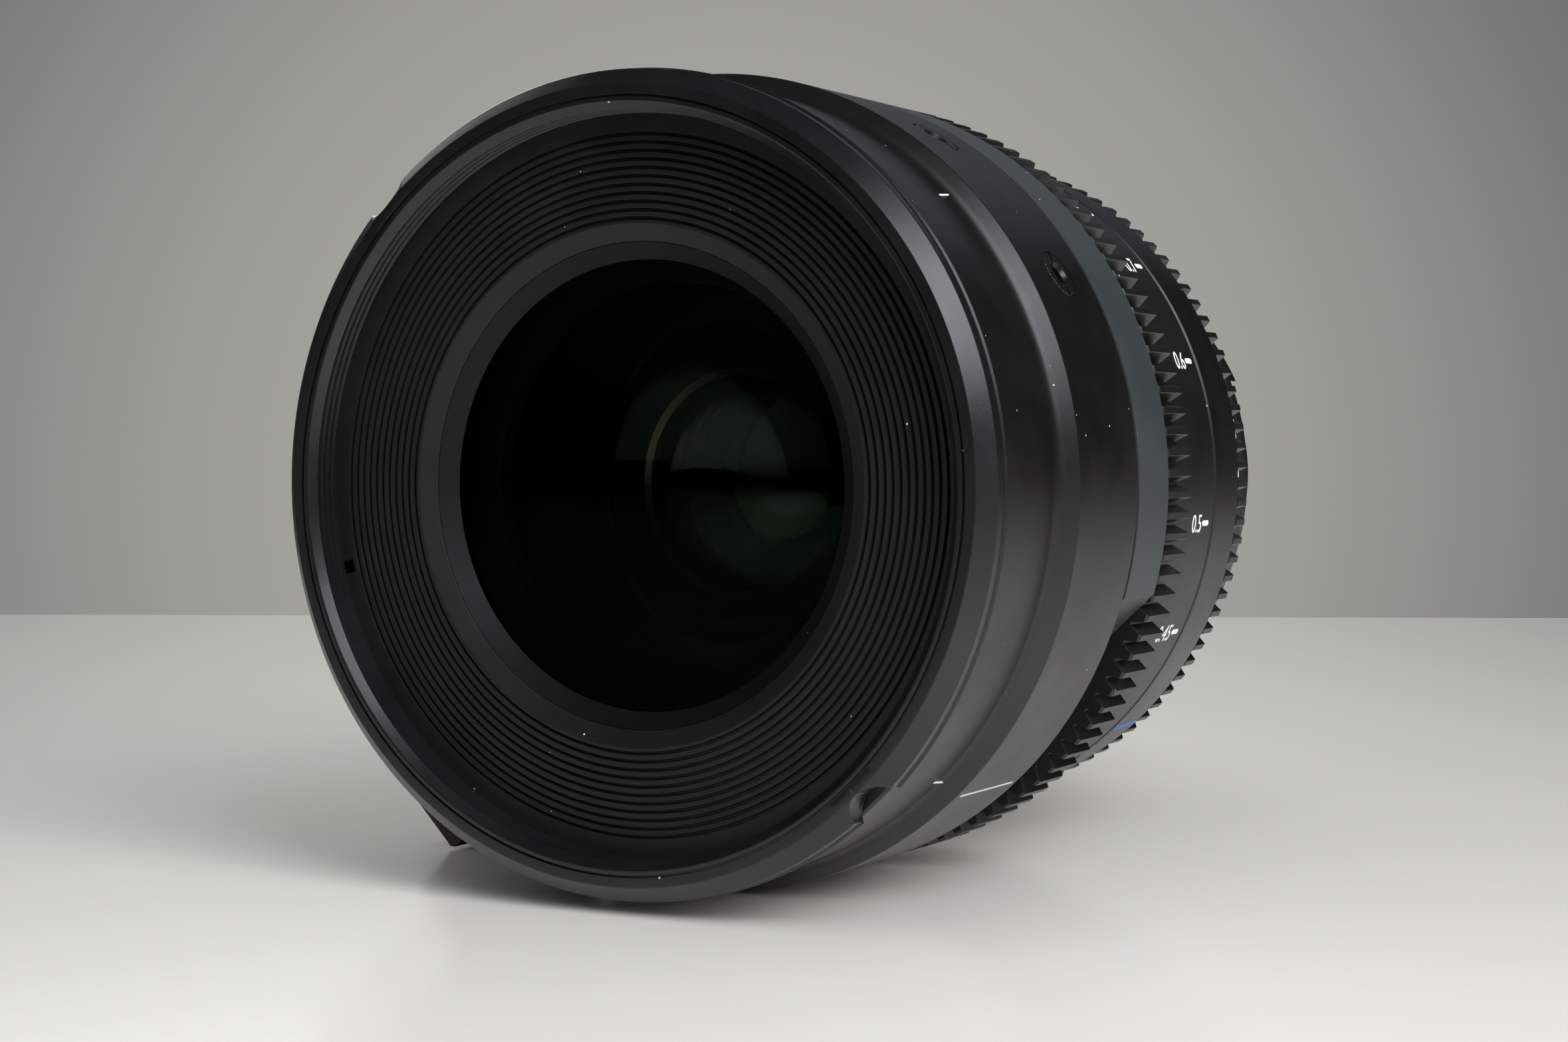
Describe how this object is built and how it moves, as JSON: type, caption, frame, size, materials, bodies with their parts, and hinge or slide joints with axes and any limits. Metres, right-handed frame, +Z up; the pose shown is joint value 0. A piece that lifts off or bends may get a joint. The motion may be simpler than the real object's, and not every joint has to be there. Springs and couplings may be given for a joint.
{
  "type": "cinema prime lens",
  "caption": "Cinema prime lens with geared focus and iris rings, a bladed iris, sliding focus cell, breech-lock mount, filter thread and support foot.",
  "frame": {"origin": "centre of the mount flange's face on the optical axis", "axes": "+Y along the optical axis from the front towards the camera, +Z up as the lens lies, +X to the right seen from the front"},
  "size_m": [0.0999, 0.139, 0.0976],
  "materials": {
    "satin_black": "satin black anodised aluminium",
    "band_black": "matt black anodised aluminium",
    "ring_black": "matt black anodised aluminium",
    "matte_black": "dull black anodised aluminium",
    "satin_grey": "satin dark grey anodised aluminium",
    "slate": "satin slate grey anodised aluminium",
    "foot_black": "black anodised aluminium",
    "bare_aluminium": "turned aluminium",
    "mount_steel": "turned stainless steel",
    "steel": "plain steel",
    "dark_steel": "blackened steel",
    "blade_black": "matt black coated spring steel",
    "brass": "turned brass",
    "optical_glass": "coated optical glass"
  },
  "bodies": {
    "lens_body": {"front_ring": "satin_black", "front_baffle": "matte_black", "front_retainer": "satin_grey", "element_01": "optical_glass", "front_barrel": "band_black", "accessory_bushes": "satin_black", "top_shroud": "slate", "bottom_shroud": "slate", "lens_foot": "foot_black", "foot_screws": "dark_steel", "front_cell": "matte_black", "cell_screws": "steel", "element_02": "optical_glass", "element_03": "optical_glass", "element_04": "optical_glass", "front_group_retainer": "matte_black", "guide_tube": "bare_aluminium", "tube_screws": "steel", "mid_ring": "band_black", "rear_barrel": "band_black", "mount_flange": "mount_steel", "mount_screws": "steel", "iris_cover": "matte_black", "iris_base": "matte_black", "rear_cell": "matte_black", "element_08": "optical_glass", "element_09": "optical_glass", "element_10": "optical_glass", "element_11": "optical_glass", "rear_retainer": "matte_black"},
    "focus_ring_body": {"focus_ring": "ring_black", "cam_ring": "brass", "focus_keys": "steel"},
    "focus_cell_body": {"focus_cell": "matte_black", "cam_rollers": "brass", "element_05": "optical_glass", "element_06": "optical_glass", "element_07": "optical_glass", "focus_retainer": "matte_black"},
    "iris_ring_body": {"iris_ring": "ring_black", "iris_actuator": "dark_steel", "iris_drive_pin": "steel"},
    "blade_01": {"iris_blade_01": "blade_black"},
    "blade_02": {"iris_blade_02": "blade_black"},
    "blade_03": {"iris_blade_03": "blade_black"},
    "blade_04": {"iris_blade_04": "blade_black"},
    "blade_05": {"iris_blade_05": "blade_black"},
    "blade_06": {"iris_blade_06": "blade_black"},
    "blade_07": {"iris_blade_07": "blade_black"},
    "blade_08": {"iris_blade_08": "blade_black"},
    "blade_09": {"iris_blade_09": "blade_black"},
    "blade_10": {"iris_blade_10": "blade_black"},
    "blade_11": {"iris_blade_11": "blade_black"}
  },
  "joints": [
    {"name": "focus_turn", "type": "hinge", "parent": "lens_body", "child": "focus_ring_body", "pos_m": [0, -0.065, 0], "axis": [0, 1, 0], "range_deg": [0, 180]},
    {"name": "focus_slide", "type": "slide", "parent": "lens_body", "child": "focus_cell_body", "axis": [0, 1, 0], "range_m": [0, 0.008]},
    {"name": "iris_turn", "type": "hinge", "parent": "lens_body", "child": "iris_ring_body", "pos_m": [0, -0.031, 0], "axis": [0, 1, 0], "range_deg": [0, 75]},
    {"name": "blade_01_swing", "type": "hinge", "parent": "lens_body", "child": "blade_01", "pos_m": [0.01859, -0.0373, -0.01959], "axis": [0, 1, 0], "range_deg": [0, 30]},
    {"name": "blade_02_swing", "type": "hinge", "parent": "lens_body", "child": "blade_02", "pos_m": [0.00505, -0.03695, -0.02652], "axis": [0, 1, 0], "range_deg": [0, 30]},
    {"name": "blade_03_swing", "type": "hinge", "parent": "lens_body", "child": "blade_03", "pos_m": [-0.01009, -0.0366, -0.02504], "axis": [0, 1, 0], "range_deg": [0, 30]},
    {"name": "blade_04_swing", "type": "hinge", "parent": "lens_body", "child": "blade_04", "pos_m": [-0.02203, -0.03625, -0.01561], "axis": [0, 1, 0], "range_deg": [0, 30]},
    {"name": "blade_05_swing", "type": "hinge", "parent": "lens_body", "child": "blade_05", "pos_m": [-0.02697, -0.0359, -0.00122], "axis": [0, 1, 0], "range_deg": [0, 30]},
    {"name": "blade_06_swing", "type": "hinge", "parent": "lens_body", "child": "blade_06", "pos_m": [-0.02335, -0.03555, 0.01356], "axis": [0, 1, 0], "range_deg": [0, 30]},
    {"name": "blade_07_swing", "type": "hinge", "parent": "lens_body", "child": "blade_07", "pos_m": [-0.01231, -0.0352, 0.02403], "axis": [0, 1, 0], "range_deg": [0, 30]},
    {"name": "blade_08_swing", "type": "hinge", "parent": "lens_body", "child": "blade_08", "pos_m": [0.00263, -0.03485, 0.02687], "axis": [0, 1, 0], "range_deg": [0, 30]},
    {"name": "blade_09_swing", "type": "hinge", "parent": "lens_body", "child": "blade_09", "pos_m": [0.01674, -0.0345, 0.02118], "axis": [0, 1, 0], "range_deg": [0, 30]},
    {"name": "blade_10_swing", "type": "hinge", "parent": "lens_body", "child": "blade_10", "pos_m": [0.02554, -0.03415, 0.00877], "axis": [0, 1, 0], "range_deg": [0, 30]},
    {"name": "blade_11_swing", "type": "hinge", "parent": "lens_body", "child": "blade_11", "pos_m": [0.02622, -0.0338, -0.00643], "axis": [0, 1, 0], "range_deg": [0, 30]}
  ],
  "couplings": [
    {"joint": "focus_slide", "follows": "focus_turn", "m_per_rad": 0.0025465},
    {"joint": "blade_01_swing", "follows": "iris_turn", "ratio": 0.4},
    {"joint": "blade_02_swing", "follows": "iris_turn", "ratio": 0.4},
    {"joint": "blade_03_swing", "follows": "iris_turn", "ratio": 0.4},
    {"joint": "blade_04_swing", "follows": "iris_turn", "ratio": 0.4},
    {"joint": "blade_05_swing", "follows": "iris_turn", "ratio": 0.4},
    {"joint": "blade_06_swing", "follows": "iris_turn", "ratio": 0.4},
    {"joint": "blade_07_swing", "follows": "iris_turn", "ratio": 0.4},
    {"joint": "blade_08_swing", "follows": "iris_turn", "ratio": 0.4},
    {"joint": "blade_09_swing", "follows": "iris_turn", "ratio": 0.4},
    {"joint": "blade_10_swing", "follows": "iris_turn", "ratio": 0.4},
    {"joint": "blade_11_swing", "follows": "iris_turn", "ratio": 0.4}
  ]
}
